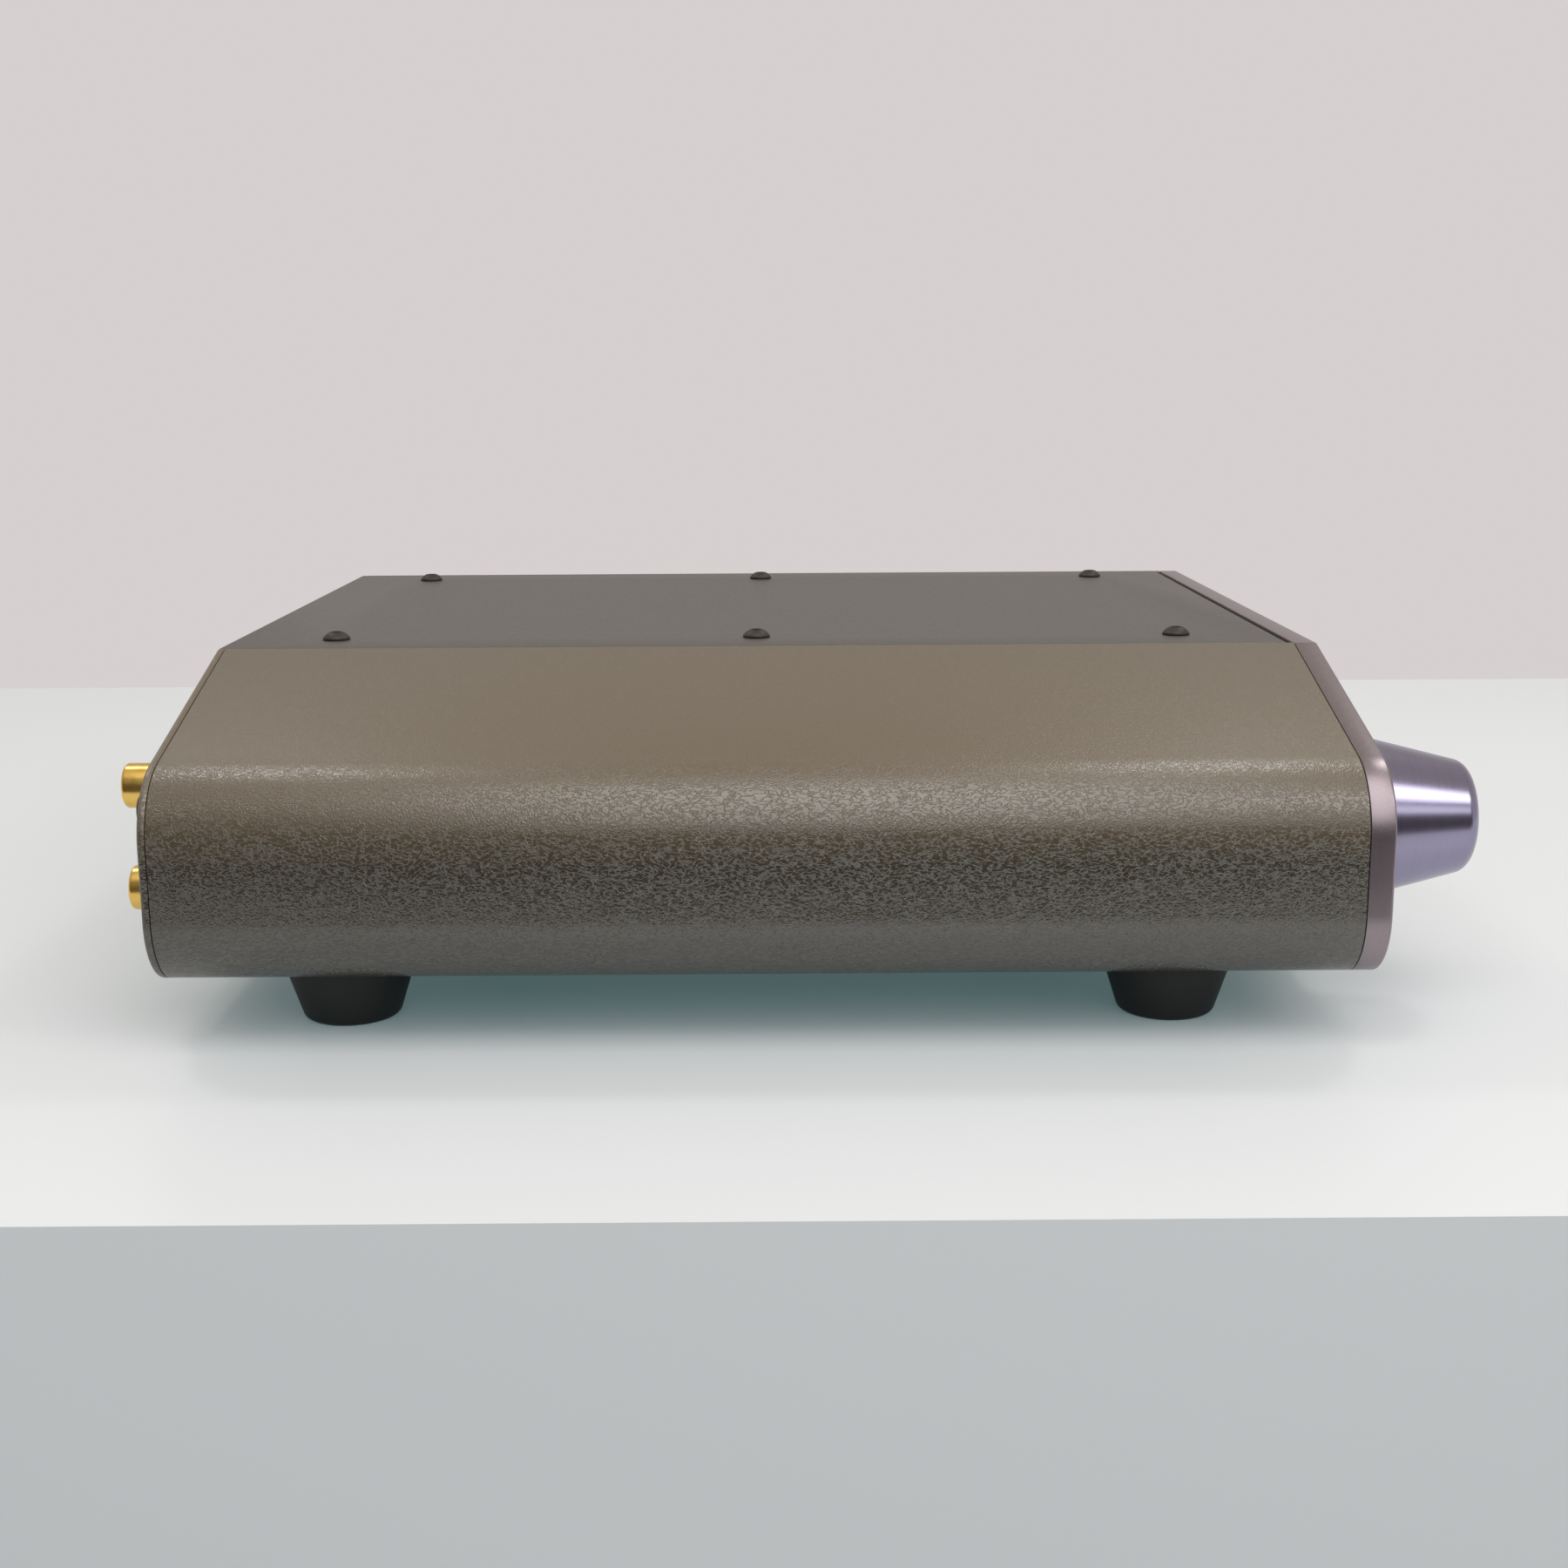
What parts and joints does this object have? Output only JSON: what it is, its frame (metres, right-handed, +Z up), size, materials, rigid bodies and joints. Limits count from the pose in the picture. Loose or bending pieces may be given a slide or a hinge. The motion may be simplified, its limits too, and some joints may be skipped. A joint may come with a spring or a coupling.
{
  "type": "desktop dac",
  "caption": "Low desktop DAC: wrapped case with sloped shoulders and inset cover, thick front panel with tapered volume knob, rear phono, digital and mains sockets, rubber feet.",
  "frame": {"origin": "on the table under the middle of the overall box, which the knob closes at the front and the line-out sockets at the rear", "axes": "+X to the right seen from the front, -Y to the front, +Z up"},
  "size_m": [0.269, 0.2578, 0.0691],
  "materials": {
    "wrinkle_coat": "fine wrinkle powder coat",
    "cover_paint": "satin paint",
    "plum_anodising": "brushed and anodised",
    "violet_anodising": "turned and anodised",
    "black_steel": "blackened",
    "zinc_steel": "zinc plated",
    "gold_plate": "polished gold plate",
    "rubber": "matt moulded",
    "black_plastic": "moulded",
    "nylon": "natural",
    "lamp_plastic": "frosted",
    "board_lacquer": "lacquered",
    "tinned_sheet": "tinned",
    "sleeve_film": "shrunk film",
    "winding_tape": "polyester tape over copper winding"
  },
  "bodies": {
    "case": {"chassis_wrap": "wrinkle_coat", "top_cover": "cover_paint", "cover_screw_1": "black_steel", "cover_screw_2": "black_steel", "cover_screw_3": "black_steel", "cover_screw_4": "black_steel", "cover_screw_5": "black_steel", "cover_screw_6": "black_steel", "front_panel": "plum_anodising", "rear_panel": "wrinkle_coat", "tie_rod_1": "black_steel", "tie_rod_2": "black_steel", "tie_rod_3": "black_steel", "tie_rod_4": "black_steel", "foot_front_left": "rubber", "foot_front_right": "rubber", "foot_rear_left": "rubber", "foot_rear_right": "rubber", "foot_screw_front_left": "zinc_steel", "foot_screw_front_right": "zinc_steel", "foot_screw_rear_left": "zinc_steel", "foot_screw_rear_right": "zinc_steel", "volume_pot": "black_plastic", "pot_nut": "zinc_steel", "headphone_jack": "black_plastic", "headphone_ring_nut": "plum_anodising", "front_board": "board_lacquer", "edge_connector": "black_plastic", "input_switch": "black_plastic", "lamp_1": "lamp_plastic", "lamp_2": "lamp_plastic", "lamp_3": "lamp_plastic", "main_board": "board_lacquer", "board_post_1": "nylon", "board_post_2": "nylon", "board_post_3": "nylon", "board_post_4": "nylon", "screening_can": "tinned_sheet", "reservoir_capacitor_1": "sleeve_film", "reservoir_capacitor_2": "sleeve_film", "transformer": "winding_tape", "transformer_clamp": "zinc_steel", "line_out_housing": "black_plastic", "line_out_upper_shell": "gold_plate", "line_out_upper_core": "black_plastic", "line_out_lower_shell": "gold_plate", "line_out_lower_core": "black_plastic", "coax_in_housing": "black_plastic", "coax_in_shell": "gold_plate", "coax_in_core": "black_plastic", "usb_shell": "zinc_steel", "usb_tongue": "black_plastic", "mains_inlet": "black_plastic", "rocker_frame": "black_plastic"},
    "volume": {"volume_shaft": "zinc_steel", "volume_knob": "violet_anodising", "knob_grub_screw": "black_steel"},
    "input_button": {"input_button": "violet_anodising"},
    "power_rocker": {"power_rocker": "black_plastic"}
  },
  "joints": [
    {"name": "volume_turn", "type": "hinge", "parent": "case", "child": "volume", "pos_m": [-0.099, -0.1056, 0.03601], "axis": [0, 1, 0], "range_deg": [-150, 150]},
    {"name": "input_press", "type": "slide", "parent": "case", "child": "input_button", "axis": [0, 1, 0], "range_m": [0, 0.0008], "stiffness_N_per_m": 400},
    {"name": "power_tip", "type": "hinge", "parent": "case", "child": "power_rocker", "pos_m": [0.052, 0.119, 0.0345], "axis": [1, 0, 0], "range_deg": [0, 18]}
  ]
}
